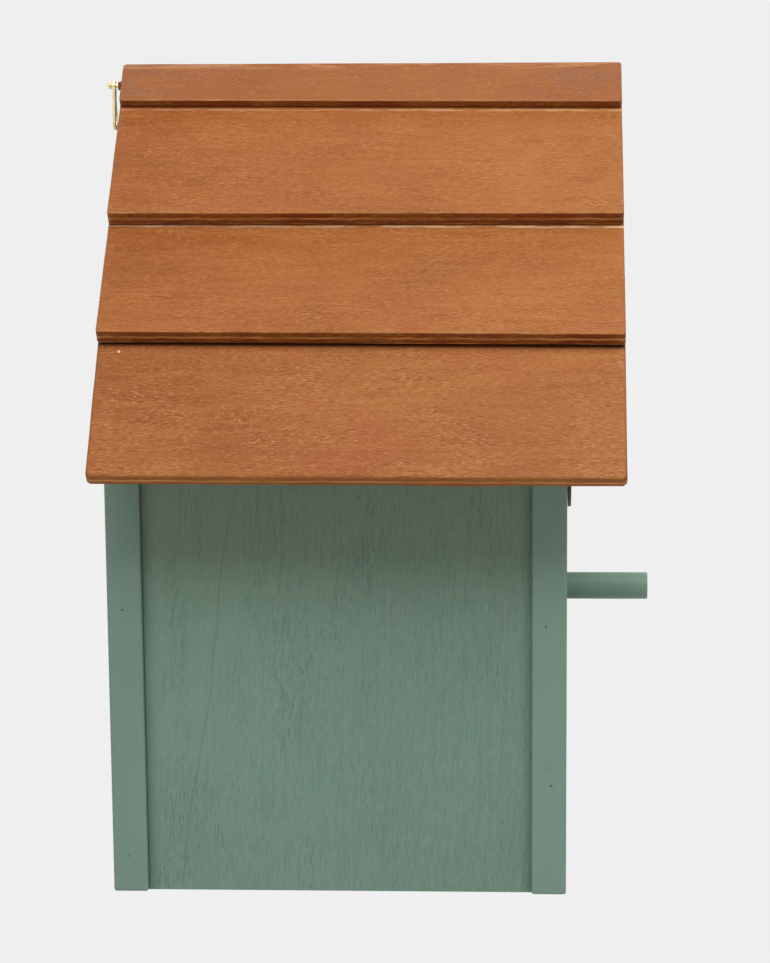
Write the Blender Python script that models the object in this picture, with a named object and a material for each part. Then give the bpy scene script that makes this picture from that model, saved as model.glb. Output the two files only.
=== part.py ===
"""A gable-roofed birdhouse, built up from boards, grooves, brads and screws.

Two thick gable boards carry everything. The side panels stand in grooves in the gables, the roof boards are
lapped over the sloping gable edges, the ridge beam is let into notches at the peak, and the floor slides in
grooved runners. Front faces -Y, up is +Z, and the part stands on Z = 0.
"""

import math

import bmesh
import bpy
from mathutils import Vector

# General
GAP = 0.0003
WOOD_ROUNDING = 0.0008
BOARD_ROUNDING = 0.0004
CUT_OVERRUN = 0.002
SIDES = {"left": -1, "right": 1}

# Body
HALF_WIDTH = 0.0965
BODY_DEPTH = 0.158
GABLE_THICKNESS = 0.012
PLY = 0.0055
PANEL_RECESS = 0.0027
PANEL_LET_IN = 0.0082
DECK_HEIGHT = 0.1743
PEAK_HEIGHT = DECK_HEIGHT + HALF_WIDTH
DECK_PITCH = math.radians(45)

# Roof. Each exposure is the width of board that shows below the next butt.
BACK_OVERHANG = 0.0024
FRONT_OVERHANG = 0.0196
EAVE_REACH = 0.0249
LAP = 0.006
EXPOSURES = {"eave": 0.0545, "middle": 0.0519, "upper": 0.0530}
CAP_THICKNESS = 0.003
BEAM_WIDTH = 0.005
BEAM_HEIGHT = 0.016
BEAM_TOP = 0.2749
BEAM_END = 0.0019
TONGUE_HEIGHT = 0.0029

# Front fittings
HOLE_RADIUS = 0.016
HOLE_HEIGHT = 0.1441
RING_RADIUS = 0.0258
RING_THICKNESS = 0.0012
RING_STANDOFF = 0.0009
RING_SCREW_CIRCLE = 0.021
RING_SCREW_COUNT = 4
RING_SCREW_HEAD = 0.0022
RING_SCREW_SHANK = 0.0011
RING_SCREW_LENGTH = 0.009
PERCH_HEIGHT = 0.0878
PERCH_RADIUS = 0.005
PERCH_REACH = 0.0305
PERCH_LET_IN = 0.0087

# Hanger. The pin leans up a little out of the beam, and the tab hangs on it.
PIN_LEAN = math.radians(4)
PIN_RADIUS = 0.00065
PIN_BURIED = 0.011
PIN_ENTRY_HEIGHT = 0.27345
PIN_UNDER_HEAD = 0.0027
PIN_HEAD_RADIUS = 0.00155
PIN_HEAD_DEPTH = 0.0013
TAB_THICKNESS = 0.001
TAB_STANDOFF = 0.0035
TAB_EYE_HOLE = 0.0012
TAB_EYE_RADIUS = 0.0018
TAB_FOOT_HOLE = 0.0019
TAB_FOOT_RADIUS = 0.0034
TAB_CENTRES = 0.0128

# Floor
FLOOR_BOTTOM = 0.008
RUNNER_WIDTH = 0.012
RUNNER_BOTTOM = 0.001
RUNNER_TOP = 0.017
RUNNER_GROOVE = 0.006
FINGER_RADIUS = 0.008

# Brads: distance in from the outer face of the gable, and height, for each one in a side.
BRAD_RADIUS = 0.00045
BRAD_LENGTH = 0.012
BRAD_SUNK = 0.0003
SIDE_BRADS = {
    "front_high": (0.0071, 0.0961),
    "front_low": (0.0052, 0.0395),
    "back_high": (0.0053, 0.1015),
    "back_low": (0.0052, 0.0130),
}
ROOF_BRAD_RADIUS = 0.0006
ROOF_BRAD_LENGTH = 0.0135
ROOF_BRAD_IN_LAP = 0.003
EAVE_BRAD_BELOW_BUTT = 0.0028
EAVE_BRAD_FROM_BACK = 0.0053
CAP_BRAD_LENGTH = 0.009
CAP_BRAD_OFFSET = 0.0065
CAP_BRADS_FROM_FRONT = {"left": (0.0087, 0.152), "right": (0.015, 0.158)}

# Derived. The part's box is centred on Y = 0, from the tip of the perch to the head of the hanger pin.
BODY_FRONT = -BODY_DEPTH / 2
BODY_BACK = BODY_DEPTH / 2
ROOF_FRONT = BODY_FRONT - FRONT_OVERHANG
ROOF_BACK = BODY_BACK + BACK_OVERHANG
HANGER_REACH = 0.00589
BODY_Y = (PERCH_REACH - BACK_OVERHANG - HANGER_REACH) / 2
PANEL_OUTER = HALF_WIDTH - PANEL_RECESS
PANEL_INNER = PANEL_OUTER - PLY
INNER_HALF_DEPTH = BODY_DEPTH / 2 - GABLE_THICKNESS
RUNNER_OUTER = PANEL_INNER - GAP
RUNNER_INNER = RUNNER_OUTER - RUNNER_WIDTH
FLOOR_HALF_WIDTH = RUNNER_INNER + RUNNER_GROOVE - GAP
FLOOR_TOP = FLOOR_BOTTOM + PLY
BEAM_BOTTOM = BEAM_TOP - BEAM_HEIGHT

holes = {}


def clear_scene():
    for obj in list(bpy.data.objects):
        bpy.data.objects.remove(obj, do_unlink=True)


def make_material(name, colour, roughness, metallic=0.0):
    material = bpy.data.materials.new(name)
    material.use_nodes = True
    shader = material.node_tree.nodes["Principled BSDF"]
    shader.inputs["Base Color"].default_value = (*colour, 1.0)
    shader.inputs["Roughness"].default_value = roughness
    shader.inputs["Metallic"].default_value = metallic
    return material


def make_object(name, bm, material=None, location=(0, 0, 0)):
    """An object from a bmesh, on the body's own frame."""
    bmesh.ops.recalc_face_normals(bm, faces=bm.faces)
    mesh = bpy.data.meshes.new(name)
    bm.to_mesh(mesh)
    bm.free()
    obj = bpy.data.objects.new(name, mesh)
    bpy.context.scene.collection.objects.link(obj)
    obj.parent = house
    obj.location = location
    if material is not None:
        mesh.materials.append(material)
    return obj


def smooth(obj):
    obj.data.shade_smooth()
    obj.data.set_sharp_from_angle(angle=math.radians(35))


def round_edges(obj, width, segments=2):
    modifier = obj.modifiers.new("rounding", "BEVEL")
    modifier.width = width
    modifier.segments = segments
    modifier.limit_method = "ANGLE"
    modifier.angle_limit = math.radians(30)


def cut(obj, name, bm):
    """Takes the bmesh's shape out of the object."""
    cutter = make_object(name, bm)
    cutter.hide_render = True
    cutter.display_type = "WIRE"
    modifier = obj.modifiers.new(name, "BOOLEAN")
    modifier.operation = "DIFFERENCE"
    modifier.solver = "EXACT"
    modifier.object = cutter


def add_prism(bm, outline, low, high):
    """Adds an outline of (x, z) points, stretched along Y from low to high."""
    ends = [[bm.verts.new((x, y, z)) for x, z in outline] for y in (low, high)]
    bm.faces.new(ends[0])
    bm.faces.new(ends[1])
    for i in range(len(outline)):
        j = (i + 1) % len(outline)
        bm.faces.new((ends[0][i], ends[0][j], ends[1][j], ends[1][i]))


def prism(outline, low, high):
    bm = bmesh.new()
    add_prism(bm, outline, low, high)
    return bm


def rectangle(x_low, x_high, z_low, z_high):
    return [(x_low, z_low), (x_high, z_low), (x_high, z_high), (x_low, z_high)]


def mirrored(outline, side):
    return [(side * x, z) for x, z in outline]


def add_lathe(bm, profile, start, direction, segments, ring=False):
    """Adds (radius, distance) points turned about the line from start along direction."""
    turn = Vector(direction).to_track_quat("Z", "Y")
    rows = []
    for radius, distance in profile:
        if radius == 0:
            rows.append([bm.verts.new(Vector(start) + turn @ Vector((0, 0, distance)))] * segments)
            continue
        row = []
        for i in range(segments):
            angle = 2 * math.pi * i / segments
            point = Vector((radius * math.cos(angle), radius * math.sin(angle), distance))
            row.append(bm.verts.new(Vector(start) + turn @ point))
        rows.append(row)
    pairs = list(zip(rows, rows[1:]))
    if ring:
        pairs.append((rows[-1], rows[0]))
    for low, high in pairs:
        for i in range(segments):
            j = (i + 1) % segments
            corners = [low[i], low[j], high[j], high[i]]
            bm.faces.new([v for k, v in enumerate(corners) if v not in corners[:k]])


def lathe(profile, start, direction, segments, ring=False):
    bm = bmesh.new()
    add_lathe(bm, profile, start, direction, segments, ring)
    return bm


def drill(node, profile, start, direction, segments):
    """Notes a hole to be cut in a node, once every hole is known."""
    holes.setdefault(node, []).append((profile, start, direction, segments))


def drill_plain(node, radius, depth, start, direction, segments=16):
    profile = [(0, -CUT_OVERRUN), (radius, -CUT_OVERRUN), (radius, depth), (0, depth)]
    drill(node, profile, start, direction, segments)


def cut_holes():
    for node, found in holes.items():
        bm = bmesh.new()
        for profile, start, direction, segments in found:
            add_lathe(bm, profile, start, direction, segments)
        cut(bpy.data.objects[node], node + "_holes", bm)


def brad(name, radius, length, surface, direction, nodes):
    """A headless brad, sunk a little below the surface, in its holes in the nodes."""
    start = Vector(surface) + Vector(direction) * BRAD_SUNK
    profile = [(0, 0), (radius, 0), (radius, length - 2 * radius), (radius / 3, length), (0, length)]
    smooth(make_object(name, lathe(profile, start, direction, 10), steel))
    for node in nodes:
        drill_plain(node, radius + GAP, length + 2 * GAP, start, direction, 10)


def make_gables():
    outline = [
        (-HALF_WIDTH, 0),
        (HALF_WIDTH, 0),
        (HALF_WIDTH, DECK_HEIGHT),
        (0, PEAK_HEIGHT),
        (-HALF_WIDTH, DECK_HEIGHT),
    ]
    for name, outer in (("front_gable", BODY_FRONT), ("back_gable", BODY_BACK)):
        inner = outer - math.copysign(GABLE_THICKNESS, outer)
        groove_end = inner + math.copysign(PANEL_LET_IN + GAP, outer)
        beyond = inner - math.copysign(CUT_OVERRUN, outer)
        obj = make_object(name, prism(outline, outer, inner), green)
        round_edges(obj, WOOD_ROUNDING)
        bm = bmesh.new()
        for side in SIDES.values():
            groove = rectangle(PANEL_INNER - GAP, PANEL_OUTER + GAP, -CUT_OVERRUN, PEAK_HEIGHT)
            add_prism(bm, mirrored(groove, side), groove_end, beyond)
        notch = rectangle(
            -BEAM_WIDTH / 2 - GAP, BEAM_WIDTH / 2 + GAP, BEAM_BOTTOM - GAP, PEAK_HEIGHT + CUT_OVERRUN
        )
        low, high = sorted((outer, inner))
        add_prism(bm, notch, low - CUT_OVERRUN, high + CUT_OVERRUN)
        if name == "back_gable":
            width = FLOOR_HALF_WIDTH + 2 * GAP
            slot = rectangle(-width, width, -CUT_OVERRUN, FLOOR_TOP + 2 * GAP)
            add_prism(bm, slot, low - CUT_OVERRUN, high + CUT_OVERRUN)
        cut(obj, name + "_joinery", bm)


def make_side_panels():
    reach = INNER_HALF_DEPTH + PANEL_LET_IN
    outline = [
        (PANEL_INNER, 0),
        (PANEL_OUTER, 0),
        (PANEL_OUTER, PEAK_HEIGHT - PANEL_OUTER),
        (PANEL_INNER, PEAK_HEIGHT - PANEL_INNER),
    ]
    for word, side in SIDES.items():
        make_object("side_panel_" + word, prism(mirrored(outline, side), -reach, reach), green)
        for place, (inset, height) in SIDE_BRADS.items():
            end = place.split("_")[0]
            y = BODY_FRONT + inset if end == "front" else BODY_BACK - inset
            nodes = (end + "_gable", "side_panel_" + word)
            surface = (side * HALF_WIDTH, y, height)
            brad(f"side_brad_{word}_{place}", BRAD_RADIUS, BRAD_LENGTH, surface, (-side, 0, 0), nodes)


def course_layout():
    """For each course, from the eave up: its lower outer top corner and slope, on the right-hand side.

    A course lies on the gable edge at its top end and on the course below near its butt, so all but the
    first lie flatter than the deck.
    """
    along = Vector((-math.cos(DECK_PITCH), math.sin(DECK_PITCH)))
    away = Vector((math.sin(DECK_PITCH), math.cos(DECK_PITCH)))
    origin = Vector((HALF_WIDTH, DECK_HEIGHT))
    start = -EAVE_REACH / math.cos(DECK_PITCH)
    laid = {}
    for name, exposure in EXPOSURES.items():
        width = exposure + LAP
        lean = 0.0 if name == "eave" else math.asin((PLY + GAP) / exposure)
        slope = along * math.cos(lean) - away * math.sin(lean)
        normal = away * math.cos(lean) + along * math.sin(lean)
        under = origin + along * start + away * (GAP + width * math.sin(lean))
        laid[name] = (under + normal * PLY, slope, normal, width, exposure)
        start += width * math.cos(lean) - LAP * math.cos(lean)
    return laid


def outline_of(corner, slope, normal, width, thickness):
    return [corner, corner + slope * width, corner + slope * width - normal * thickness, corner - normal * thickness]


def roof_point(corner, slope, distance, side, y):
    point = corner + slope * distance
    return (side * point.x, y, point.y)


def make_roof():
    laid = course_layout()
    brad_y = {"front": BODY_FRONT + GABLE_THICKNESS / 2, "back": BODY_BACK - GABLE_THICKNESS / 2}
    for word, side in SIDES.items():
        for name, (corner, slope, normal, width, exposure) in laid.items():
            node = f"{name}_course_{word}"
            outline = [(p.x, p.y) for p in outline_of(corner, slope, normal, width, PLY)]
            obj = make_object(node, prism(mirrored(outline, side), ROOF_FRONT, ROOF_BACK), brown)
            round_edges(obj, BOARD_ROUNDING)
            # The top brads go straight down, because square to the board they would meet the ridge beam.
            inward = (0, 0, -1) if name == "upper" else (-side * normal.x, 0, -normal.y)
            for end, y in brad_y.items():
                distance = width - ROOF_BRAD_IN_LAP
                if name == "eave" and end == "back":
                    distance = exposure - EAVE_BRAD_BELOW_BUTT
                    y = BODY_BACK - EAVE_BRAD_FROM_BACK
                surface = roof_point(corner, slope, distance, side, y)
                nodes = (node, end + "_gable")
                label = f"roof_brad_{word}_{name}_{end}"
                brad(label, ROOF_BRAD_RADIUS, ROOF_BRAD_LENGTH, surface, inward, nodes)
        make_cap(word, side, *laid["upper"])


def make_cap(word, side, corner, slope, normal, width, exposure):
    """The narrow ridge board, lying flat on the upper course and mitred on the centre plane."""
    under = corner + slope * exposure + normal * GAP
    top = under + normal * CAP_THICKNESS
    centre = GAP / 2
    under_length = (under.x - centre) / -slope.x
    top_length = (top.x - centre) / -slope.x
    points = [top, top + slope * top_length, under + slope * under_length, under]
    node = "ridge_cap_" + word
    outline = [(p.x, p.y) for p in points]
    obj = make_object(node, prism(mirrored(outline, side), ROOF_FRONT, ROOF_BACK), brown)
    round_edges(obj, BOARD_ROUNDING)
    distance = (top.x - CAP_BRAD_OFFSET) / -slope.x
    for number, from_front in enumerate(CAP_BRADS_FROM_FRONT[word], 1):
        surface = roof_point(top, slope, distance, side, ROOF_FRONT + from_front)
        inward = (-side * normal.x, 0, -normal.y)
        label = f"cap_brad_{word}_{number}"
        brad(label, ROOF_BRAD_RADIUS, CAP_BRAD_LENGTH, surface, inward, (node, "ridge_beam"))


def make_ridge_beam():
    outline = rectangle(-BEAM_WIDTH / 2, BEAM_WIDTH / 2, BEAM_BOTTOM, BEAM_TOP)
    end = ROOF_BACK + BEAM_END
    obj = make_object("ridge_beam", prism(outline, ROOF_FRONT + GAP, end), brown)
    round_edges(obj, GAP)
    # Behind the back gable only a thin tongue goes on, under the caps, to carry the hanger pin.
    below = rectangle(-BEAM_WIDTH, BEAM_WIDTH, BEAM_BOTTOM - CUT_OVERRUN, BEAM_TOP - TONGUE_HEIGHT)
    cut(obj, "ridge_beam_tongue", prism(below, BODY_BACK, end + CUT_OVERRUN))


def make_entrance():
    inward = (0, 1, 0)
    centre = Vector((0, BODY_FRONT, HOLE_HEIGHT))
    drill_plain("front_gable", HOLE_RADIUS + GAP, GABLE_THICKNESS + CUT_OVERRUN, centre, inward, 48)
    face = centre - Vector((0, RING_STANDOFF + RING_THICKNESS, 0))
    profile = [
        (HOLE_RADIUS, RING_THICKNESS),
        (HOLE_RADIUS, GAP),
        (HOLE_RADIUS + GAP, 0),
        (RING_RADIUS - GAP, 0),
        (RING_RADIUS, GAP),
        (RING_RADIUS, RING_THICKNESS),
    ]
    ring = make_object("entrance_ring", lathe(profile, face, inward, 48, ring=True), black)
    smooth(ring)
    cone = RING_SCREW_HEAD - RING_SCREW_SHANK
    for number in range(1, RING_SCREW_COUNT + 1):
        angle = 2 * math.pi * (number - 0.5) / RING_SCREW_COUNT
        spot = face + Vector((math.cos(angle), 0, math.sin(angle))) * RING_SCREW_CIRCLE
        head = [
            (0, 0),
            (RING_SCREW_HEAD, 0),
            (RING_SCREW_SHANK, cone),
            (RING_SCREW_SHANK, RING_SCREW_LENGTH - 2 * RING_SCREW_SHANK),
            (0, RING_SCREW_LENGTH),
        ]
        name = f"entrance_ring_screw_{number}"
        smooth(make_object(name, lathe(head, spot, inward, 16), black))
        sink = [
            (0, -CUT_OVERRUN),
            (RING_SCREW_HEAD + GAP, -CUT_OVERRUN),
            (RING_SCREW_HEAD + GAP, GAP / 2),
            (RING_SCREW_SHANK + GAP, cone + GAP / 2),
            (RING_SCREW_SHANK + GAP, RING_SCREW_LENGTH + GAP),
            (0, RING_SCREW_LENGTH + GAP),
        ]
        drill("entrance_ring", sink, spot, inward, 16)
        drill_plain("front_gable", RING_SCREW_SHANK + GAP, RING_SCREW_LENGTH + GAP, spot, inward, 16)


def make_perch():
    root = Vector((0, BODY_FRONT + PERCH_LET_IN, PERCH_HEIGHT))
    length = PERCH_LET_IN + PERCH_REACH
    profile = [
        (0, 0),
        (PERCH_RADIUS, 0),
        (PERCH_RADIUS, length - 2 * GAP),
        (PERCH_RADIUS - GAP, length - GAP / 2),
        (PERCH_RADIUS - 3 * GAP, length),
        (0, length),
    ]
    smooth(make_object("perch", lathe(profile, root, (0, -1, 0), 32), green))
    mouth = Vector((0, BODY_FRONT, PERCH_HEIGHT))
    drill_plain("front_gable", PERCH_RADIUS + GAP, PERCH_LET_IN + GAP, mouth, (0, 1, 0), 32)


def make_hanger():
    outward = Vector((0, math.cos(PIN_LEAN), math.sin(PIN_LEAN)))
    entry = Vector((0, ROOF_BACK + BEAM_END, PIN_ENTRY_HEIGHT))
    under = PIN_UNDER_HEAD
    top = under + PIN_HEAD_DEPTH
    profile = [
        (0, -PIN_BURIED),
        (PIN_RADIUS, 2 * PIN_RADIUS - PIN_BURIED),
        (PIN_RADIUS, under),
        (PIN_HEAD_RADIUS * 0.9, under),
        (PIN_HEAD_RADIUS, under + PIN_HEAD_DEPTH * 0.15),
        (PIN_HEAD_RADIUS * 0.94, under + PIN_HEAD_DEPTH * 0.45),
        (PIN_HEAD_RADIUS * 0.68, under + PIN_HEAD_DEPTH * 0.8),
        (PIN_HEAD_RADIUS * 0.35, under + PIN_HEAD_DEPTH * 0.96),
        (0, top),
    ]
    smooth(make_object("hanger_pin", lathe(profile, entry, outward, 24), brass))
    drill_plain("ridge_beam", PIN_RADIUS + GAP, PIN_BURIED + GAP, entry, -outward, 12)

    pivot_y = ROOF_BACK + TAB_STANDOFF
    pivot_z = PIN_ENTRY_HEIGHT + (TAB_STANDOFF - BEAM_END) * math.tan(PIN_LEAN)
    outline = tab_outline(TAB_EYE_RADIUS, TAB_FOOT_RADIUS, TAB_CENTRES)
    bm = prism(outline, -TAB_THICKNESS / 2, TAB_THICKNESS / 2)
    tab = make_object("hanger_tab", bm, brass, (0, pivot_y, pivot_z))
    round_edges(tab, GAP / 2, 1)
    y = pivot_y - TAB_THICKNESS / 2
    for radius, drop in ((TAB_EYE_HOLE, 0), (TAB_FOOT_HOLE, TAB_CENTRES)):
        spot = (0, y, pivot_z - drop)
        drill_plain("hanger_tab", radius, TAB_THICKNESS + CUT_OVERRUN, spot, (0, 1, 0), 24)


def tab_outline(eye, foot, centres, steps=10):
    """A small circle round the pivot and a larger one below it, joined by their tangents."""
    tilt = math.asin((foot - eye) / centres)
    points = []
    for i in range(steps + 1):
        angle = -tilt + (math.pi + 2 * tilt) * i / steps
        points.append((eye * math.cos(angle), eye * math.sin(angle)))
    for i in range(steps + 1):
        angle = math.pi + tilt + (math.pi - 2 * tilt) * i / steps
        points.append((foot * math.cos(angle), foot * math.sin(angle) - centres))
    return points


def make_floor():
    mid = (FLOOR_BOTTOM + FLOOR_TOP) / 2
    front = GAP - INNER_HALF_DEPTH
    back = BODY_BACK - GAP
    outline = rectangle(-FLOOR_HALF_WIDTH, FLOOR_HALF_WIDTH, FLOOR_BOTTOM, FLOOR_TOP)
    obj = make_object("floor_panel", prism(outline, front, back), bare)
    round_edges(obj, BOARD_ROUNDING)
    drill_plain("floor_panel", FINGER_RADIUS, PLY + CUT_OVERRUN, (0, back, FLOOR_BOTTOM), (0, 0, 1), 32)
    half_slot = PLY / 2 + GAP
    runner = [
        (RUNNER_INNER, RUNNER_BOTTOM),
        (RUNNER_OUTER, RUNNER_BOTTOM),
        (RUNNER_OUTER, RUNNER_TOP),
        (RUNNER_INNER, RUNNER_TOP),
        (RUNNER_INNER, mid + half_slot),
        (RUNNER_INNER + RUNNER_GROOVE, mid + half_slot),
        (RUNNER_INNER + RUNNER_GROOVE, mid - half_slot),
        (RUNNER_INNER, mid - half_slot),
    ]
    reach = INNER_HALF_DEPTH - GAP
    for word, side in SIDES.items():
        make_object("floor_runner_" + word, prism(mirrored(runner, side), -reach, reach), bare)


clear_scene()
green = make_material("green_paint", (0.145, 0.235, 0.185), 0.55)
brown = make_material("brown_stain", (0.37, 0.125, 0.042), 0.5)
bare = make_material("bare_ply", (0.56, 0.39, 0.22), 0.7)
black = make_material("black_paint", (0.012, 0.012, 0.013), 0.45)
brass = make_material("brass", (0.72, 0.52, 0.2), 0.28, 1.0)
steel = make_material("steel", (0.42, 0.41, 0.39), 0.42, 1.0)
house = bpy.data.objects.new("house", None)
bpy.context.scene.collection.objects.link(house)
house.location = (0, BODY_Y, 0)
make_gables()
make_ridge_beam()
make_side_panels()
make_roof()
make_entrance()
make_perch()
make_hanger()
make_floor()
cut_holes()
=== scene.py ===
"""The looks of the birdhouse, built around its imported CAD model."""

import math

import bmesh
import bpy
from mathutils import Matrix, Vector, noise


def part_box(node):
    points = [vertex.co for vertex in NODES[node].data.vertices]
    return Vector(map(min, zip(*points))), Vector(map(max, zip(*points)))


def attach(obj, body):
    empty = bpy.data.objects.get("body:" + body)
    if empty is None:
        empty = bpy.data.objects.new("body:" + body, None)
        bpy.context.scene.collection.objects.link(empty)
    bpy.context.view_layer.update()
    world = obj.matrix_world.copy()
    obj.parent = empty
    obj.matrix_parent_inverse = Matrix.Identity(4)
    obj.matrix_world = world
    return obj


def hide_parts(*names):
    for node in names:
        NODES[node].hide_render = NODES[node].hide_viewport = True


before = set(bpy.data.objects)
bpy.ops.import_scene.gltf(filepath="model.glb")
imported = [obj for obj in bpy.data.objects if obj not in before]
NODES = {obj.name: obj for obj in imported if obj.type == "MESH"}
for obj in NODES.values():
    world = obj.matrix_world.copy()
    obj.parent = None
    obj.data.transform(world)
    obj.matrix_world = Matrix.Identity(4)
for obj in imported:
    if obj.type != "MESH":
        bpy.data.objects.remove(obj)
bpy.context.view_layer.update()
COURSES = ("eave", "middle", "upper")
SIDES = ("left", "right")
GABLES = ("front_gable", "back_gable")

# Camera: where it stands, in metres, its turn, fall and roll in degrees, and its lens in mm.
CAMERA_AT = Vector((-1.15599, -0.05896, 0.36276))
CAMERA_TURN = 2.861
CAMERA_FALL = 11.51
CAMERA_ROLL = -0.455
CAMERA_LENS = 119.14
CAMERA_CLIP = 0.05

# Stage: a floor that glows by itself, so that it is pale and hardly takes a shadow, under an even
# sky. The floor lies just under the house.
BACKDROP = (0.863, 0.863, 0.863)
FLOOR_REACH = 12.0
FLOOR_DROP = 0.0002
FLOOR_GLOW = 0.993
FLOOR_TONE = 0.01
SKY = 0.14
LIGHT_AIM = (0, 0, 0.15)
LIGHT_SIZE = (1.7, 0.6)
# Each light: where it stands, and its power in watts.
LIGHTS = {
    "key": ((-0.69, -0.12, 1.25), 24.0),
    "back_fill": ((0.75, 0.05, 1.25), 10.0),
}

# Each roof board. skew is how far up its lower edge lies at the two ends, lap is where the next
# butt has rubbed it and wear is how strongly, and butt_shadow is where a painted shadow darkens it
# just under that butt. lap and butt_shadow are measured down from the board's top edge. flecked and
# red are how strong its flecks and its redness are. Ends run back to front on the left of the roof,
# front to back on the right.
BOARDS = {
    ("left", "eave"): {
        "skew": (0.0009, 0.00024),
        "butt_shadow": (0.0055, 0.0068),
        "flecked": 1.15,
        "red": 0.5,
    },
    ("left", "middle"): {
        "skew": (0.0005, -0.0008),
        "lap": (0.0074, 0.0081),
        "wear": 0.95,
        "flecked": 0.90,
        "red": 0.5,
    },
    ("left", "upper"): {
        "skew": (-0.0001, -0.0006),
        "lap": (0.0070, 0.0083),
        "wear": 0.42,
        "flecked": 0.75,
        "red": 0.3,
    },
    ("left", "cap"): {"skew": (0.0002, -0.0011), "flecked": 0.5, "red": 0.6},
    ("right", "eave"): {
        "skew": (0.0005, 0.00025),
        "butt_shadow": (0.0060, 0.0060),
        "flecked": 1.0,
        "red": 0.4,
    },
    ("right", "middle"): {"skew": (-0.0003, 0.0004), "flecked": 0.9, "red": 0.5},
    ("right", "upper"): {"skew": (0.0003, -0.0002), "flecked": 0.75, "red": 0.3},
    ("right", "cap"): {"skew": (-0.0004, 0.0003), "flecked": 0.6, "red": 0.5},
}
BEAM_SEED = 11

# Board shapes: the easing of the arrises and of the corners seen from above, the size of a mesh cell
# along, up and through a board, and how the edges are crowded with cells, as shares of the easing.
EASED = {"eave": 0.0013, "middle": 0.0005, "upper": 0.0005, "cap": 0.0003}
CORNER = {"eave": 0.0016, "middle": 0.0009, "upper": 0.0009, "cap": 0.0012}
CELL = (0.0022, 0.0030, 0.0006)
EASE_STEPS = (0, 0.15, 0.35, 0.6, 1, 1.5)
# The cut edges: where the joints between plies lie, as shares of the half thickness, how deep they
# and the saw marks are cut, and how far down from its top edge a cap's mitre starts.
PLY_JOINTS = (-0.42, 0.42)
PLY_JOINT_WIDTH = 0.09
PLY_JOINT_DEPTH = 0.00007
SAW_DEPTH = 0.00005
DEEPEST_CUT = 0.0003
MITRE_REACH = 0.006
SHARP_ANGLE = math.radians(50)
TINY = 1e-9

# Perch: how far under its CAD radius it stays, its ripple, and its worn tip as steps from the end,
# each with a share of the radius.
PERCH_SEGMENTS = 56
PERCH_STATIONS = 30
PERCH_SHAVED = 0.00003
PERCH_RIPPLE = 0.00006
PERCH_TIP = ((0.0006, 1.0), (0.0002, 0.985), (0.00005, 0.965), (0, 0.93))

# Filler over a brad: its outline from the rim to the middle, as shares of its radius and heights.
DOT_SEGMENTS = 24
DOT_OUTLINE = (
    (1, -0.0004),
    (1, -0.00004),
    (0.85, 0),
    (0.6, 0.00002),
    (0.45, -0.00006),
    (0.2, -0.00016),
)
SIDE_DOT = {"radius": 0.00073, "lift": 0.0003}
CAP_DOT = {"radius": 0.0005, "lift": 0.00032}
EAVE_DOT = {"radius": 0.0005, "lift": 0.00036}

# Side panels: the joint in the veneer, as its place at the bottom of the walls and its slope, the
# band of height where painted warm bounce light from the roof tints the paint under the eave, and
# how far in from a panel's end the painted shadow line along the gable fades out, and the painted
# shade beside it.
SEAM_START = 0.0665
SEAM_SLOPE = -0.145
SEAM_WANDER = 0.0014
GRAIN_LEAN = 0.05
GRAIN_LEAN_FROM = 0.08
BOUNCE_BAND = (0.095, 0.134)
EDGE_SHADOW_LINE = (0.0083, 0.0089)
EDGE_SHADE = (0.0083, 0.0128)

# Colours, all linear.
STAIN = {
    "back_deep": (0.220, 0.060, 0.0100),
    "back_pale": (0.268, 0.081, 0.0150),
    "front_deep": (0.270, 0.088, 0.0200),
    "front_pale": (0.324, 0.116, 0.0290),
    "red": (0.285, 0.073, 0.0230),
    "handled": (0.215, 0.072, 0.019),
    "grime": (0.190, 0.074, 0.037),
    "scuffed_top": (0.42, 0.21, 0.10),
    "streak_pale": (0.385, 0.155, 0.043),
    "streak_dark": (0.180, 0.048, 0.009),
    "fleck_pale": (0.450, 0.200, 0.070),
    "fleck_dark": (0.140, 0.035, 0.006),
    "dash_pale": (0.560, 0.300, 0.135),
    "dash_dark": (0.100, 0.024, 0.005),
    "rubbed_highlight": (0.500, 0.240, 0.090),
    "ply_deep": (0.170, 0.050, 0.008),
    "ply_pale": (0.310, 0.105, 0.021),
    "ply_red": (0.165, 0.032, 0.006),
    "ply_under_shade": (0.085, 0.016, 0.003),
    "ply_eave": (0.330, 0.112, 0.022),
    "glue": (0.520, 0.235, 0.080),
    "glue_eave": (0.480, 0.205, 0.065),
    "worn_back": (0.44, 0.25, 0.17),
    "worn_and_lit_front": (0.74, 0.48, 0.27),
    "butt_shadow_colour": (0.058, 0.013, 0.003),
}
PAINT = {
    "deep": (0.139, 0.222, 0.169),
    "pale": (0.156, 0.245, 0.187),
    "brushed": (0.190, 0.285, 0.225),
    "dent_shade": (0.070, 0.115, 0.086),
    "root": (0.040, 0.064, 0.049),
    "tip": (0.225, 0.330, 0.268),
    "cloud_green": (0.130, 0.232, 0.168),
    "cloud_grey": (0.150, 0.212, 0.158),
    "fibre_pale": (0.180, 0.272, 0.214),
    "fibre_dark": (0.100, 0.165, 0.126),
    "pore": (0.046, 0.076, 0.057),
    "tick": (0.225, 0.325, 0.262),
    "seam": (0.060, 0.100, 0.076),
    "painted_bounce_tint": (1.05, 0.93, 0.86),
    "shade": (0.020, 0.032, 0.022),
}
BARE = {
    "deep": (0.46, 0.29, 0.145),
    "pale": (0.66, 0.47, 0.27),
    "broad": (0.72, 0.53, 0.32),
    "ply_pale": (0.60, 0.42, 0.24),
    "ply_dark": (0.33, 0.19, 0.09),
}
BLACK = (0.014, 0.015, 0.016)
BLACK_DUSTY = (0.040, 0.041, 0.042)
BRASS = (0.86, 0.72, 0.40)
BRASS_TARNISHED = (0.48, 0.37, 0.15)
STEEL = (0.45, 0.44, 0.42)
STEEL_TARNISHED = (0.25, 0.24, 0.23)
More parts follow.
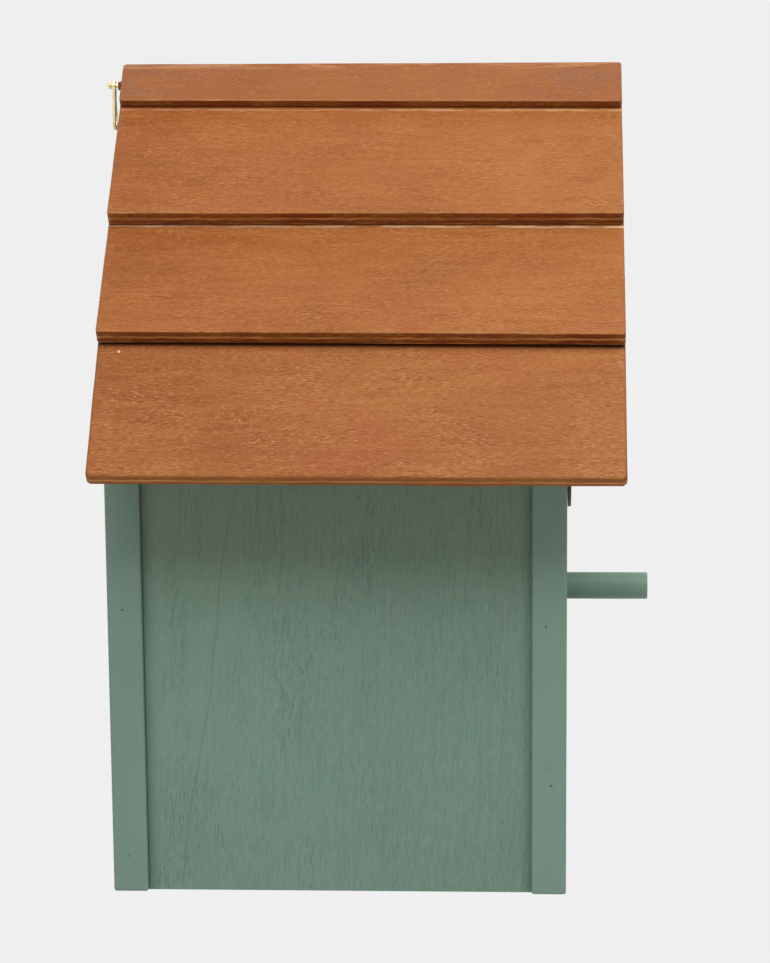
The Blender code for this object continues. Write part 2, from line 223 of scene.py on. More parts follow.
# Each filler: its colours in the middle and at the rim, how far out the middle reaches, its seed.
FILLERS = {
    "painted_filler": ((0.022, 0.036, 0.028), (0.146, 0.230, 0.177), 0.00034, 3.0),
    "faint_filler": ((0.085, 0.120, 0.092), (0.140, 0.222, 0.170), 0.00034, 4.0),
    "pale_filler": ((0.90, 0.76, 0.58), (0.66, 0.44, 0.26), 0.00034, 8.0),
    "dark_filler": ((0.050, 0.012, 0.004), (0.11, 0.034, 0.010), 0.00040, 5.0),
    "stained_filler": ((0.26, 0.075, 0.015), (0.300, 0.095, 0.020), 0.0003, 6.0),
}


class Graph:
    """A material's node tree, with a short call for each kind of node that is used here."""

    def __init__(self, name):
        self.material = bpy.data.materials.new(name)
        self.material.use_nodes = True
        self.tree = self.material.node_tree
        self.shader = self.tree.nodes["Principled BSDF"]
        self.place = self.node("ShaderNodeTexCoord").outputs["Object"]

    def node(self, kind, **settings):
        made = self.tree.nodes.new(kind)
        for key, value in settings.items():
            setattr(made, key, value)
        return made

    def feed(self, socket, value):
        """Links a socket to another node's output, or sets it to a number, a place or a colour."""
        if isinstance(value, bpy.types.NodeSocket):
            self.tree.links.new(value, socket)
        elif hasattr(socket.default_value, "__len__") and len(socket.default_value) == 4:
            socket.default_value = (*value, 1.0)
        else:
            socket.default_value = value

    def noise(self, scale, offset=(0, 0, 0), detail=2.0, rough=0.5, bend=0.0, place=None):
        """Noise with its own scale along each axis, in features per metre."""
        mapped = self.node("ShaderNodeMapping")
        self.feed(mapped.inputs["Vector"], self.place if place is None else place)
        self.feed(mapped.inputs["Location"], offset)
        self.feed(mapped.inputs["Scale"], scale)
        made = self.node("ShaderNodeTexNoise")
        self.feed(made.inputs["Vector"], mapped.outputs["Vector"])
        self.feed(made.inputs["Scale"], 1.0)
        self.feed(made.inputs["Detail"], detail)
        self.feed(made.inputs["Roughness"], rough)
        self.feed(made.inputs["Distortion"], bend)
        return made.outputs["Fac"]

    def math(self, operation, *values):
        made = self.node("ShaderNodeMath", operation=operation)
        for socket, value in zip(made.inputs, values):
            self.feed(socket, value)
        return made.outputs[0]

    def plus(self, a, b):
        return self.math("ADD", a, b)

    def minus(self, a, b):
        return self.math("SUBTRACT", a, b)

    def times(self, a, b):
        return self.math("MULTIPLY", a, b)

    def larger(self, a, b):
        return self.math("MAXIMUM", a, b)

    def size(self, a):
        return self.math("ABSOLUTE", a)

    def fit(self, value, low, high, to_low=0.0, to_high=1.0, smooth=False):
        """The value's span low to high, mapped to another and clamped."""
        made = self.node("ShaderNodeMapRange", clamp=True)
        made.interpolation_type = "SMOOTHSTEP" if smooth else "LINEAR"
        for socket, item in zip(made.inputs, (value, low, high, to_low, to_high)):
            self.feed(socket, item)
        return made.outputs["Result"]

    def mix(self, amount, a, b, blend="MIX"):
        made = self.node("ShaderNodeMix", data_type="RGBA", blend_type=blend)
        self.feed(made.inputs["Factor"], amount)
        self.feed(made.inputs["A"], a)
        self.feed(made.inputs["B"], b)
        return made.outputs["Result"]

    def axes(self, vector):
        made = self.node("ShaderNodeSeparateXYZ")
        self.feed(made.inputs[0], vector)
        return made.outputs

    def joined(self, x, y, z):
        made = self.node("ShaderNodeCombineXYZ")
        for socket, value in zip(made.inputs, (x, y, z)):
            self.feed(socket, value)
        return made.outputs[0]

    def facing(self, axis):
        """How squarely the true surface faces along one of the object's axes, from 0 to 1."""
        turn = self.node("ShaderNodeVectorTransform", vector_type="NORMAL")
        turn.convert_from = "WORLD"
        turn.convert_to = "OBJECT"
        self.feed(turn.inputs[0], self.node("ShaderNodeNewGeometry").outputs["True Normal"])
        return self.size(self.axes(turn.outputs[0])[axis])

    def bump(self, height, distance, strength):
        made = self.node("ShaderNodeBump")
        self.feed(made.inputs["Height"], height)
        self.feed(made.inputs["Distance"], distance)
        self.feed(made.inputs["Strength"], strength)
        self.feed(self.shader.inputs["Normal"], made.outputs["Normal"])

    def gloss(self, level):
        self.feed(self.shader.inputs["Specular IOR Level"], level)

    def finish(self, colour, roughness):
        self.feed(self.shader.inputs["Base Color"], colour)
        self.feed(self.shader.inputs["Roughness"], roughness)
        return self.material


def edge_line(g, x, base, ends, half_length):
    """A line along a board: base plus the first of ends at its low X end, the second at the other."""
    middle = base + (ends[0] + ends[1]) / 2
    return g.math("MULTIPLY_ADD", x, (ends[1] - ends[0]) / 2 / half_length, middle)


def cut_edge(g, z, half_height, offset, other, course):
    """Cut ply edges: dark stain, painted shade at their underside, a pale glue line and, off the eave,
    a pale lower arris.
    """
    ply = g.fit(z, -half_height, half_height)
    wander = g.fit(g.noise((150, 150, 150), offset, 3.0), 0.3, 0.7, -0.05, 0.05)
    ragged = g.plus(ply, wander)
    grain = g.noise((420, 420, 1500), offset, 2.0, 0.6)
    tone = g.noise((60, 60, 60), other, 2.0)
    plies = g.mix(g.fit(grain, 0.35, 0.65), STAIN["ply_deep"], STAIN["ply_pale"])
    plies = g.mix(g.fit(tone, 0.38, 0.60, 0.0, 0.75), plies, STAIN["ply_red"])
    # Painted shade, darker towards the underside of each cut edge.
    plies = g.mix(g.fit(ply, 0.0, 0.30, 0.75, 0.0, True), plies, STAIN["ply_under_shade"])
    if course == "cap":
        return plies
    pale = g.fit(g.size(g.minus(ragged, 0.50)), 0.04, 0.11, 1.0, 0.0)
    broken = g.fit(g.noise((70, 70, 420), other, 3.0, 0.65), 0.34, 0.58, 0.15, 1.0)
    if course == "eave":
        plies = g.mix(0.40, plies, STAIN["ply_eave"])
        return g.mix(g.times(pale, broken), plies, STAIN["glue_eave"])
    pale = g.larger(pale, g.fit(ragged, 0.07, 0.13, 0.9, 0.0))
    return g.mix(g.times(pale, broken), plies, STAIN["glue"])


def stained_ply(
    name, seed, half, course, skew, lap=None, butt_shadow=None, wear=0.0, flecked=1.0, red=0.4
):
    """Brown-stained plywood. The grain runs along local X, and the plies are stacked along local Z.

    skew, lap, butt_shadow, wear, flecked and red are as in BOARDS, but lap and butt_shadow are
    measured up from the board's middle.
    its top.
    """
    g = Graph(name)
    offset = (seed * 7.31, seed * 3.17, seed * 1.93)
    other = (seed * 2.77, seed * 9.13, seed * 4.61)
    x, y, z = g.axes(g.place)
    sway = g.noise((26, 60, 60), offset, 2.0)
    curl = g.noise((170, 260, 260), other, 2.0, 0.55)
    moved = g.plus(g.times(sway, 0.009), g.times(curl, 0.0012))
    swayed = g.joined(x, g.plus(y, moved), z)
    flecks = g.noise((420, 2900, 2900), offset, 2.0, 0.6, 0.0, swayed)
    dashes = g.noise((620, 3900, 3900), other, 1.0, 0.5, 0.0, swayed)
    streaks = g.noise((45, 650, 650), offset, 3.0, 0.65, 0.0, swayed)
    drift = g.fit(g.noise((16, 30, 30), offset, 3.0, 0.6, 0.8), 0.36, 0.66)
    blush = g.noise((24, 36, 36), other, 2.0, 0.5, 1.0)
    where = g.noise((40, 60, 60), (offset[1], other[0], other[1]), 2.0, 0.5, 0.5)
    busy = g.fit(where, 0.36, 0.64, 0.60 * flecked, 1.05 * flecked)

    # Lighter and less red towards the front: partly the stain's own tone, partly painted light and
    # sheen.
    along = g.fit(x, -half[0], half[0])
    back = g.mix(drift, STAIN["back_deep"], STAIN["back_pale"])
    front = g.mix(drift, STAIN["front_deep"], STAIN["front_pale"])
    colour = g.mix(along, back, front)
    colour = g.mix(g.fit(blush, 0.45, 0.70, 0.0, red), colour, STAIN["red"])
    if course == "cap":
        dirt = g.noise((60, 110, 110), (offset[2], offset[0], 0), 3.0, 0.6, 0.6)
        at_ends = g.fit(g.size(x), half[0] - 0.042, half[0] - 0.012, 0.15, 0.85, True)
        colour = g.mix(0.45, colour, STAIN["handled"])
        colour = g.mix(g.times(at_ends, g.fit(dirt, 0.40, 0.62)), colour, STAIN["grime"])
        at_top = g.fit(y, half[1] - 0.0035, half[1] - 0.0015)
        scuffed = g.times(at_top, g.fit(streaks, 0.44, 0.60))
        colour = g.mix(g.times(scuffed, 0.55), colour, STAIN["scuffed_top"])
    for marks, start, full, strength, tint in (
        (streaks, 0.44, 0.68, 0.32, "streak_pale"),
        (streaks, 0.46, 0.30, 0.30, "streak_dark"),
        (flecks, 0.52, 0.68, 0.46, "fleck_pale"),
        (flecks, 0.47, 0.32, 0.50, "fleck_dark"),
        (dashes, 0.66, 0.74, 0.60, "dash_pale"),
        (dashes, 0.34, 0.26, 0.60, "dash_dark"),
    ):
        amount = g.times(g.fit(marks, start, full, 0.0, strength), busy)
        colour = g.mix(amount, colour, STAIN[tint])

    # Along the butt's top arris: a painted highlight, where the stain is also rubbed paler.
    up_board = g.minus(y, edge_line(g, x, -half[1], skew, half[0]))
    rubbed_highlight_breaks = g.fit(g.noise((120, 1100, 1100), other, 3.0, 0.7), 0.42, 0.60)
    rubbed_highlight = g.times(g.fit(up_board, 0.0002, 0.0009, 1.0, 0.0), rubbed_highlight_breaks)
    colour = g.mix(g.times(rubbed_highlight, 0.45), colour, STAIN["rubbed_highlight"])

    plies = cut_edge(g, z, half[2], offset, other, course)
    colour = g.mix(g.fit(g.facing(2), 0.80, 0.50), colour, plies)

    if lap is not None:
        away = g.size(g.minus(y, edge_line(g, x, 0.0, lap, half[0])))
        scuffs = g.fit(g.noise((70, 800, 800), offset, 3.0, 0.75), 0.42, 0.55)
        worn = g.times(g.fit(away, 0.00028, 0.00070, wear, 0.0), scuffs)
        # The worn lap is paler towards the front too, partly as painted light.
        colour = g.mix(worn, colour, g.mix(along, STAIN["worn_back"], STAIN["worn_and_lit_front"]))
    # A painted shadow, dark just under the butt of the board that lies over this one.
    if butt_shadow is not None:
        above = g.minus(y, edge_line(g, x, 0.0, butt_shadow, half[0]))
        colour = g.mix(g.fit(above, -0.0012, 0.0002, 0.0, 0.88, True), colour, STAIN["butt_shadow_colour"])

    height = g.plus(g.times(flecks, 0.6), g.times(dashes, 0.6))
    height = g.plus(height, g.times(streaks, 0.5))
    g.bump(height, 0.00008, 0.8)
    g.gloss(0.14)
    return g.finish(colour, g.fit(flecks, 0.3, 0.7, 0.62, 0.46))


def green_colour(g, seed, lighter=1.0):
    tone = g.noise((14, 14, 9), (seed, 2 * seed, 3 * seed), 3.0)
    deep, pale = ([part * lighter for part in PAINT[key]] for key in ("deep", "pale"))
    return g.mix(g.fit(tone, 0.35, 0.65), deep, pale)


def painted_board(name, seed, lighter=1.0, root=None, tip=None):
    """Grey-green satin paint on smooth solid wood, with faint brush marks and painted shade for the
    odd dent.

    A dowel gets painted shade at its root, where it meets the wall, and painted light towards its
    tip. root and tip are places along local Y.
    """
    g = Graph(name)
    brushed = g.noise((620, 620, 30), (seed, 0, 0), 3.0, 0.55)
    mottle = g.noise((520, 520, 420), (0, seed, 0), 3.0, 0.6)
    dent_shade_spots = g.noise((120, 120, 90), (0, 0, seed), 1.0)
    colour = green_colour(g, seed, lighter)
    colour = g.mix(g.fit(brushed, 0.45, 0.70, 0.0, 0.16), colour, PAINT["brushed"])
    # Painted shade for small dents, which have no shape of their own.
    colour = g.mix(g.fit(dent_shade_spots, 0.25, 0.20, 0.0, 0.15), colour, PAINT["dent_shade"])
    if root is not None:
        # Painted shade at the root, where the dowel meets the wall, and painted light towards the tip.
        y = g.axes(g.place)[1]
        colour = g.mix(g.fit(y, root - 0.011, root, 0.0, 0.20, True), colour, PAINT["root"])
        colour = g.mix(g.fit(y, tip + 0.012, tip, 0.0, 0.28, True), colour, PAINT["tip"])
    g.bump(g.plus(g.times(brushed, 0.4), g.times(mottle, 0.35)), 0.00008, 0.6)
    g.gloss(0.40)
    return g.finish(colour, g.fit(mottle, 0.3, 0.7, 0.46, 0.58))


def painted_ply(name, seed, node):
    """The same paint on open-grained plywood: fine upright pores, and a leaning veneer joint.

    Painted shade darkens the panel where it meets the gables, with a painted shadow line along the
    back one, and painted warm bounce light and shade from the roof tint it under the eave.
    """
    g = Graph(name)
    low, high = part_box(node)
    x, y, z = g.axes(g.place)
    lean = g.times(g.minus(z, GRAIN_LEAN_FROM), GRAIN_LEAN)
    sway = g.times(g.noise((16, 16, 14), (seed, seed, 0), 2.0), 0.010)
    grain = g.joined(x, g.plus(g.plus(y, lean), sway), z)
    pores = g.noise((1200, 1700, 190), (seed, 0, 0), 2.0, 0.65, 0.3, grain)
    ticks = g.noise((1500, 2600, 290), (0, seed, 0), 1.0, 0.5, 0.0, grain)
    long_pores = g.noise((900, 1500, 60), (0, seed, seed), 2.0, 0.6, 0.0, grain)
    patches = g.noise((30, 50, 16), (0, 0, seed), 3.0, 0.6, 0.4, grain)
    fibres = g.noise((500, 700, 22), (seed, seed, seed), 3.0, 0.6, 0.0, grain)
    cloudy = g.noise((75, 75, 45), (seed, 0, seed), 3.0, 0.6, 0.5, grain)

    # The joint runs from high up towards the front to low down towards the back.
    behind = g.minus(g.plus(SEAM_START, g.times(z, SEAM_SLOPE)), y)
    bends = g.noise((0.1, 0.1, 22), (seed, 0, 0), 2.0)
    joint = g.plus(behind, g.fit(bends, 0.3, 0.7, -SEAM_WANDER, SEAM_WANDER))
    seam = g.fit(g.size(joint), 0.0001, 0.0006, 1.0, 0.0)
    seam = g.times(seam, g.fit(pores, 0.40, 0.55, 0.20, 1.0))
    beyond = g.fit(joint, -0.0004, 0.012, 0.0, 1.0)

    colour = green_colour(g, seed)
    for marks, start, full, strength, tint in (
        (cloudy, 0.40, 0.64, 0.45, "cloud_green"),
        (cloudy, 0.46, 0.32, 0.40, "cloud_grey"),
        (fibres, 0.42, 0.66, 0.20, "fibre_pale"),
        (fibres, 0.46, 0.30, 0.20, "fibre_dark"),
    ):
        colour = g.mix(g.fit(marks, start, full, 0.0, strength), colour, PAINT[tint])
    dark = g.fit(pores, 0.45, 0.31, 0.0, 0.41)
    dark = g.larger(dark, g.fit(ticks, 0.38, 0.28, 0.0, 0.55))
    dark = g.larger(dark, g.fit(long_pores, 0.38, 0.29, 0.0, 0.36))
    open_grain = g.larger(g.fit(patches, 0.46, 0.62, 0.06, 0.90), g.times(beyond, 0.55))
    dark = g.times(dark, open_grain)
    colour = g.mix(dark, colour, PAINT["pore"])
    colour = g.mix(g.fit(ticks, 0.63, 0.72, 0.0, 0.35), colour, PAINT["tick"])
    colour = g.mix(g.times(seam, 0.32), colour, PAINT["seam"])
    # Painted warm bounce light from the roof, and painted shade, near the top of the wall under the
    # eave.
    colour = g.mix(g.fit(z, *BOUNCE_BAND), colour, PAINT["painted_bounce_tint"], "MULTIPLY")

    # Painted shade where the panel meets the gables, and a painted shadow line along the back one.
    to_back = g.minus(high[1], y)
    to_front = g.minus(y, low[1])
    ragged = g.fit(cloudy, 0.3, 0.7, 0.6, 1.0)
    shade = g.times(g.fit(to_back, *EDGE_SHADE, 0.42, 0.0), ragged)
    shade = g.larger(shade, g.fit(to_back, *EDGE_SHADOW_LINE, 0.85, 0.0))
    shade = g.larger(shade, g.times(g.fit(to_front, *EDGE_SHADE, 0.22, 0.0), ragged))
    colour = g.mix(shade, colour, PAINT["shade"])

    height = g.minus(g.times(fibres, 0.30), dark)
    height = g.minus(height, g.times(seam, 0.5))
    g.bump(height, 0.00014, 0.8)
    g.gloss(0.32)
    return g.finish(colour, g.fit(pores, 0.3, 0.6, 0.70, 0.56))


def bare_ply(name, seed, node):
    """Unfinished plywood with its plies showing on the edges."""
    g = Graph(name)
    low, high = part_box(node)
    z = g.axes(g.place)[2]
    grain = g.noise((30, 700, 700), (seed, 0, 0), 3.0, 0.6, 0.3)
    broad = g.noise((12, 30, 12), (0, seed, 0), 2.0)
    face = g.mix(g.fit(grain, 0.35, 0.65), BARE["deep"], BARE["pale"])
    face = g.mix(g.fit(broad, 0.35, 0.7, 0.0, 0.4), face, BARE["broad"])
    plies = g.math("FRACT", g.times(g.fit(z, low[2], high[2]), 2.5))
    rim = g.mix(g.fit(plies, 0.46, 0.54), BARE["ply_pale"], BARE["ply_dark"])
    colour = g.mix(g.fit(g.facing(2), 0.75, 0.45), face, rim)
    g.bump(grain, 0.00012, 0.7)
    return g.finish(colour, g.fit(grain, 0.3, 0.7, 0.70, 0.82))


def metal(name, colour, tarnished, roughness, seed):
    """Bright metal with fine handling marks and a little tarnish."""
    g = Graph(name)
    tarnish = g.noise((380, 380, 380), (seed, 0, 0), 3.0, 0.6)
    scratches = g.noise((2600, 700, 2600), (0, seed, 0), 2.0, 0.6)
    mixed = g.mix(g.fit(tarnish, 0.45, 0.72, 0.0, 0.5), colour, tarnished)
    g.bump(scratches, 0.00001, 0.15)
    g.feed(g.shader.inputs["Metallic"], 1.0)
    return g.finish(mixed, g.fit(tarnish, 0.3, 0.7, roughness, roughness + 0.14))


def black_finish(name):
    """Black paint with a fine peel and some dust."""
    g = Graph(name)
    peel = g.noise((900, 900, 900), (3, 1, 2), 2.0, 0.5)
    dust = g.noise((140, 140, 140), (1, 5, 2), 3.0, 0.6)
    colour = g.mix(g.fit(dust, 0.45, 0.75), BLACK, BLACK_DUSTY)
    g.bump(peel, 0.00004, 0.5)
    return g.finish(colour, g.fit(dust, 0.3, 0.7, 0.42, 0.56))


def filler(name):
    """Filler over a brad, which changes colour from its middle to its rim."""
    middle, rim, reach, seed = FILLERS[name]
    g = Graph(name)
    x, y = g.axes(g.place)[:2]
    away = g.math("SQRT", g.plus(g.times(x, x), g.times(y, y)))
    tone = g.noise((1600, 1600, 1600), (seed, seed, 0), 2.0)
    uneven = g.plus(away, g.fit(tone, 0.3, 0.7, -0.00010, 0.00010))
    colour = g.mix(g.fit(uneven, reach * 0.8, reach * 1.2), middle, rim)
    g.bump(tone, 0.00002, 0.6)
    return g.finish(colour, g.fit(tone, 0.3, 0.7, 0.5, 0.7))


def keep(node, material):
    """Gives a CAD node that stays its material."""
    slots = NODES[node].data.materials
    slots.clear()
    slots.append(material)


def put_in_scene(name, data):
    made = bpy.data.objects.new(name, data)
    bpy.context.scene.collection.objects.link(made)
    return made


def add_piece(name, bm, material, matrix, node):
    """A piece on the house that stands for one CAD node."""
    bmesh.ops.recalc_face_normals(bm, faces=bm.faces)
    mesh = bpy.data.meshes.new(name)
    bm.to_mesh(mesh)
    bm.free()
    mesh.shade_smooth()
    mesh.set_sharp_from_angle(angle=SHARP_ANGLE)
    mesh.materials.append(material)
    piece = put_in_scene(name, mesh)
    piece.matrix_world = matrix
    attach(piece, "house")
    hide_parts(node)


def board_frame(node):
    """A flat board's matrix, with axes along the ridge, up the slope and outwards, and half sizes."""
    mesh = NODES[node].data
    faces = [face for face in mesh.polygons if face.normal.z > 0.3 and abs(face.normal.y) < 0.01]
    out = max(faces, key=lambda face: face.area).normal.normalized()
    slope = Vector((-out.z * math.copysign(1, out.x), 0, abs(out.x))).normalized()
    axes = (slope.cross(out), slope, out)
    spans = []
    for axis in axes:
        reach = [axis.dot(vertex.co) for vertex in mesh.vertices]
        spans.append((min(reach), max(reach)))
    along, up, outward = (axis * sum(span) / 2 for axis, span in zip(axes, spans))
    matrix = Matrix(axes).transposed().to_4x4()
    matrix.translation = along + up + outward
    return matrix, [(high - low) / 2 for low, high in spans]


def spaced(half, step, edge):
    """Places from -half to half, close together near both ends."""
    ends = [edge * share for share in EASE_STEPS]
    inner = half - ends[-1]
    count = max(2, round(2 * inner / step))
    middle = [-inner + 2 * inner * i / count for i in range(1, count)]
    return [-half + e for e in ends] + middle + [half - e for e in reversed(ends)]


def eased(point, half, seed, rounding):
    """The point moved in to a rounded arris, which is worn unevenly along its length."""
    worn = rounding * (0.9 + 0.55 * noise.noise(Vector((point.x * 45, seed, point.y * 45))))
    inner = Vector([max(-h + worn, min(h - worn, c)) for h, c in zip(half, point)])
    out = point - inner
    if sum(abs(c) > TINY for c in out) > 1:
        return inner + out.normalized() * worn
    return point


def round_corner(point, half, corner):
    """Rounds the board's corners as seen from above."""
    over_x = abs(point.x) - half[0] + corner
    over_y = abs(point.y) - half[1] + corner
    if over_x > 0 and over_y > 0:
        shrink = max(over_x, over_y) / math.hypot(over_x, over_y)
        point.x = math.copysign(half[0] - corner + over_x * shrink, point.x)
        point.y = math.copysign(half[1] - corner + over_y * shrink, point.y)


def board_mesh(half, seed, skew, rounding, corner, mitre=0.0):
    """A plywood board: worn arrises, and edges cut back a hair between the plies.

    skew moves the lower edge up the board, by one amount at each end. mitre is the slant of the top
    edge, as a rise up the board over its thickness.
    """
    hx, hy, hz = half
    edges = (corner, corner, rounding)
    places = [spaced(h, cell, edge) for h, cell, edge in zip(half, CELL, edges)]
    xs, ys, zs = places
    bm = bmesh.new()
    made = {}

    def vertex(i, j, k):
        if (i, j, k) in made:
            return made[i, j, k]
        x, y, z = xs[i], ys[j], zs[k]
        point = Vector((x, y, z))
        rough = noise.noise(Vector((point.x * 130 + seed, point.y * 130, point.z * 130)))
        point = eased(point, half, seed, rounding)
        groove = sum(math.exp(-(((z / hz - line) / PLY_JOINT_WIDTH) ** 2)) for line in PLY_JOINTS)
        cut = min(PLY_JOINT_DEPTH * groove + SAW_DEPTH * (rough + 0.6), DEEPEST_CUT)
        if abs(x) > hx - TINY:
            point.x -= math.copysign(cut, x)
        if abs(y) > hy - TINY:
            point.y -= math.copysign(cut, y)
        round_corner(point, half, corner)
        if mitre:
            near = max(0.0, min(1.0, (point.y - hy + MITRE_REACH) / MITRE_REACH))
            point.y -= (hz - point.z) * mitre * near * near * (3 - 2 * near)
        share = (hy - point.y) / (2 * hy)
        point.y += share * (skew[0] + (skew[1] - skew[0]) * (point.x + hx) / (2 * hx))
        made[i, j, k] = bm.verts.new(point)
        return made[i, j, k]

    def quad(*corners):
        bm.faces.new([vertex(*place) for place in corners])

    nx, ny, nz = (len(along) - 1 for along in places)
    for i in range(nx):
        for j in range(ny):
            for k in (0, nz):
                quad((i, j, k), (i + 1, j, k), (i + 1, j + 1, k), (i, j + 1, k))
        for k in range(nz):
            for j in (0, ny):
                quad((i, j, k), (i + 1, j, k), (i + 1, j, k + 1), (i, j, k + 1))
    for j in range(ny):
        for k in range(nz):
            for i in (0, nx):
                quad((i, j, k), (i, j + 1, k), (i, j + 1, k + 1), (i, j, k + 1))
    return bm


def make_board(word, course, node, seed):
    matrix, half = board_frame(node)
    traits = dict(BOARDS[word, course])
    for key in ("lap", "butt_shadow"):
        if key in traits:
            traits[key] = [half[1] - end for end in traits[key]]
    finish = stained_ply(f"stain_{course}_{word}", seed, half, course, **traits)
    slope = matrix.col[1]
    mitre = abs(slope.z / slope.x) if course == "cap" else 0.0
    bm = board_mesh(half, seed * 3.7, traits["skew"], EASED[course], CORNER[course], mitre)
    add_piece(f"board_{course}_{word}", bm, finish, matrix, node)


def make_roof():
    seed = 0
    for word in SIDES:
        for course in COURSES:
            seed += 1
            make_board(word, course, f"{course}_course_{word}", seed)
        seed += 1
        make_board(word, "cap", "ridge_cap_" + word, seed)
    low, high = (Vector(corner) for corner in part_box("ridge_beam"))
    across, length, height = (high - low) / 2
    half = (length, across, height)
    keep("ridge_beam", stained_ply("stain_beam", BEAM_SEED, half, "beam", skew=(0, 0)))


def skinned(rings):
    """A closed mesh over rings of points, which all have the same number of points."""
    bm = bmesh.new()
    made = [[bm.verts.new(point) for point in ring] for ring in rings]
    around = len(made[0])
    for first, second in zip(made, made[1:]):
        for i in range(around):
            j = (i + 1) % around
            bm.faces.new([first[i], first[j], second[j], second[i]])
    bm.faces.new(made[0])
    bm.faces.new(made[-1])
    return bm


def turns(count):
    return [2 * math.pi * i / count for i in range(count)]


def make_dot(node, finish, radius, lift, outward=None):
    """Filler over a brad where it shows: a low dome with a dimple, set square to the brad.

    Unless outward is given, it is the way that the brad leans up.
    """
    points = [vertex.co for vertex in NODES[node].data.vertices]
    low, high = (Vector(corner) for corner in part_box(node))
    centre = (low + high) / 2
    if outward is None:
        foot = min(points, key=lambda point: point.z)
        outward = Vector((centre.x - foot.x, 0, centre.z - foot.z)).normalized()
    rings = []
    for share, rise in DOT_OUTLINE:
        r = radius * share
        rings.append([(r * math.cos(a), r * math.sin(a), rise) for a in turns(DOT_SEGMENTS)])
    matrix = outward.to_track_quat("Z", "Y").to_matrix().to_4x4()
    head = max(outward.dot(point - centre) for point in points)
    matrix.translation = centre + outward * (head + lift)
    add_piece("dot_" + node, skinned(rings), finish, matrix, node)


def make_perch():
    """The dowel, a little uneven along its length, with a worn tip."""
    low, high = (Vector(corner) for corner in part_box("perch"))
    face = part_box("front_gable")[0][1]
    finish = painted_board("paint_dowel", 7.0, 1.05, face - high.y, low.y - high.y)
    radius = (high.z - low.z) / 2 - PERCH_SHAVED
    length = high.y - low.y
    centre = (low + high) / 2
    stations = [(length * i / PERCH_STATIONS, 1.0) for i in range(PERCH_STATIONS - 1)]
    stations += [(length - step, share) for step, share in PERCH_TIP]
    rings = []
    for distance, share in stations:
        ring = []
        for angle in turns(PERCH_SEGMENTS):
            where = Vector((distance * 60, math.cos(angle), math.sin(angle)))
            reach = radius * share - PERCH_RIPPLE * (noise.noise(where) + 0.5)
            ring.append((reach * math.cos(angle), -distance, reach * math.sin(angle)))
        rings.append(ring)
    matrix = Matrix.Translation((centre.x, high.y, centre.z))
    add_piece("perch_dowel", skinned(rings), finish, matrix, "perch")


def make_brads(steel, black):
    """Filler or bare metal over each brad, and the screws of the black plate."""
    fillers = {name: filler(name) for name in FILLERS}
    for name in NODES:
        if name.startswith("side_brad"):
            outward = Vector((math.copysign(1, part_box(name)[0][0]), 0, 0))
            look = "faint_filler" if name.endswith("back_low") else "painted_filler"
            make_dot(name, fillers[look], **SIDE_DOT, outward=outward)
        elif name.startswith("entrance_ring_screw"):
            keep(name, black)
        elif name.startswith("cap_brad"):
            look = "stained_filler" if name.endswith("_2") else "dark_filler"
            make_dot(name, fillers[look], **CAP_DOT)
        elif name.startswith("roof_brad") and name.endswith("eave_back"):
            make_dot(name, fillers["pale_filler"], **EAVE_DOT)
        elif name.startswith("roof_brad"):
            keep(name, steel)


def make_floor():
    mesh = bpy.data.meshes.new("floor")
    r = FLOOR_REACH
    mesh.from_pydata([(-r, -r, 0), (r, -r, 0), (r, r, 0), (-r, r, 0)], [], [(0, 1, 2, 3)])
    floor = put_in_scene("floor", mesh)
    floor.location.z = -FLOOR_DROP
    g = Graph("floor_pale")
    g.feed(g.shader.inputs["Emission Color"], BACKDROP)
    g.feed(g.shader.inputs["Emission Strength"], FLOOR_GLOW)
    g.gloss(0.0)
    mesh.materials.append(g.finish((FLOOR_TONE, FLOOR_TONE, FLOOR_TONE), 1.0))


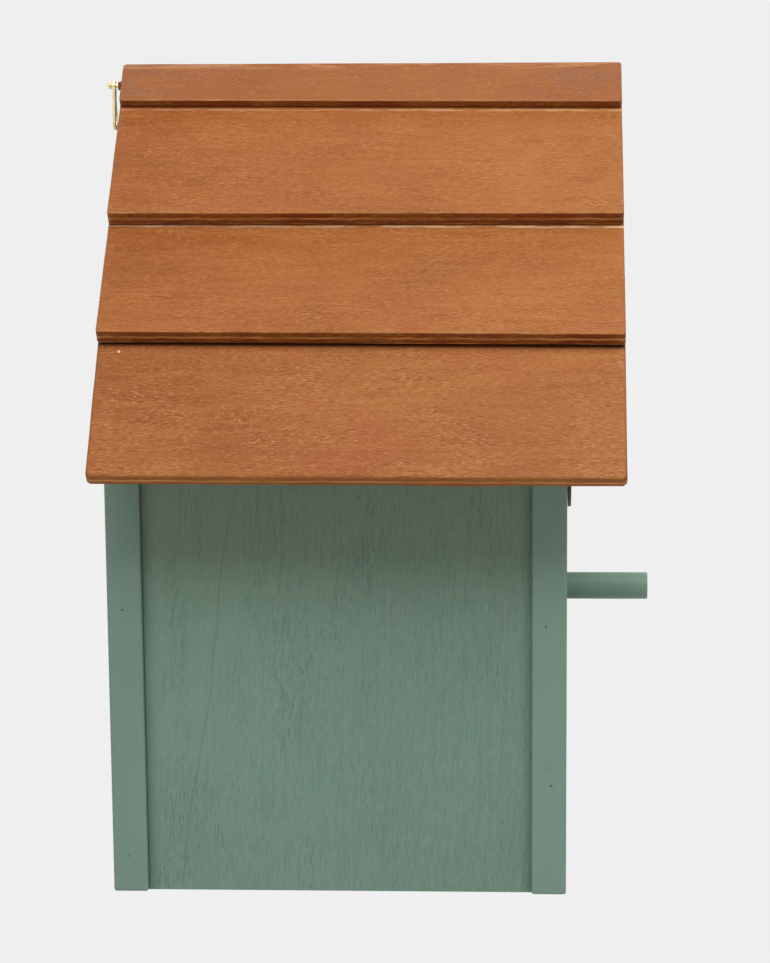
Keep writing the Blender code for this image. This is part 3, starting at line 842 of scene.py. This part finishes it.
def make_sky():
    """An even, dim sky, which the backdrop's colour stands in for where it is seen or mirrored."""
    world = bpy.data.worlds.new("sky")
    bpy.context.scene.world = world
    world.use_nodes = True
    tree = world.node_tree
    dim = tree.nodes["Background"]
    dim.inputs["Color"].default_value = (1.0, 1.0, 1.0, 1.0)
    dim.inputs["Strength"].default_value = SKY
    pale = tree.nodes.new("ShaderNodeBackground")
    pale.inputs["Color"].default_value = (*BACKDROP, 1.0)
    paths = tree.nodes.new("ShaderNodeLightPath")
    seen = tree.nodes.new("ShaderNodeMath")
    seen.operation = "MAXIMUM"
    either = tree.nodes.new("ShaderNodeMixShader")
    tree.links.new(paths.outputs["Is Camera Ray"], seen.inputs[0])
    tree.links.new(paths.outputs["Is Glossy Ray"], seen.inputs[1])
    tree.links.new(seen.outputs[0], either.inputs[0])
    tree.links.new(dim.outputs[0], either.inputs[1])
    tree.links.new(pale.outputs[0], either.inputs[2])
    tree.links.new(either.outputs[0], tree.nodes["World Output"].inputs["Surface"])


def make_lights():
    for name, (place, power) in LIGHTS.items():
        data = bpy.data.lights.new(name, "AREA")
        data.shape = "RECTANGLE"
        data.size, data.size_y = LIGHT_SIZE
        data.energy = power
        lamp = put_in_scene(name, data)
        lamp.location = place
        lamp.rotation_mode = "QUATERNION"
        lamp.rotation_quaternion = (Vector(LIGHT_AIM) - Vector(place)).to_track_quat("-Z", "Y")


def make_camera():
    turn, fall, roll = (math.radians(a) for a in (CAMERA_TURN, CAMERA_FALL, CAMERA_ROLL))
    level = math.cos(fall)
    ahead = Vector((math.cos(turn) * level, math.sin(turn) * level, -math.sin(fall)))
    right = Vector((math.sin(turn), -math.cos(turn), 0))
    above = right.cross(ahead)
    rolled_right = right * math.cos(roll) + above * math.sin(roll)
    rolled_above = above * math.cos(roll) - right * math.sin(roll)
    data = bpy.data.cameras.new("camera")
    data.lens = CAMERA_LENS
    data.clip_start = CAMERA_CLIP
    camera = put_in_scene("camera", data)
    matrix = Matrix((rolled_right, rolled_above, -ahead)).transposed().to_4x4()
    matrix.translation = CAMERA_AT
    camera.matrix_world = matrix
    bpy.context.scene.camera = camera
    bpy.context.scene.view_settings.view_transform = "Standard"


make_camera()
make_floor()
make_sky()
make_lights()
make_roof()
board_paint = painted_board("paint_board", 4.0)
for gable in GABLES:
    keep(gable, board_paint)
keep("side_panel_left", painted_ply("paint_ply_left", 2.0, "side_panel_left"))
keep("side_panel_right", painted_ply("paint_ply_right", 9.0, "side_panel_right"))
make_perch()
black = black_finish("black_plate")
keep("entrance_ring", black)
brass = metal("brass", BRASS, BRASS_TARNISHED, 0.30, 2.0)
steel = metal("steel", STEEL, STEEL_TARNISHED, 0.4, 5.0)
keep("hanger_pin", brass)
keep("hanger_tab", brass)
keep("floor_panel", bare_ply("ply_floor", 1.0, "floor_panel"))
for word in SIDES:
    runner = "floor_runner_" + word
    keep(runner, bare_ply("ply_runner_" + word, 6.0, runner))
make_brads(steel, black)
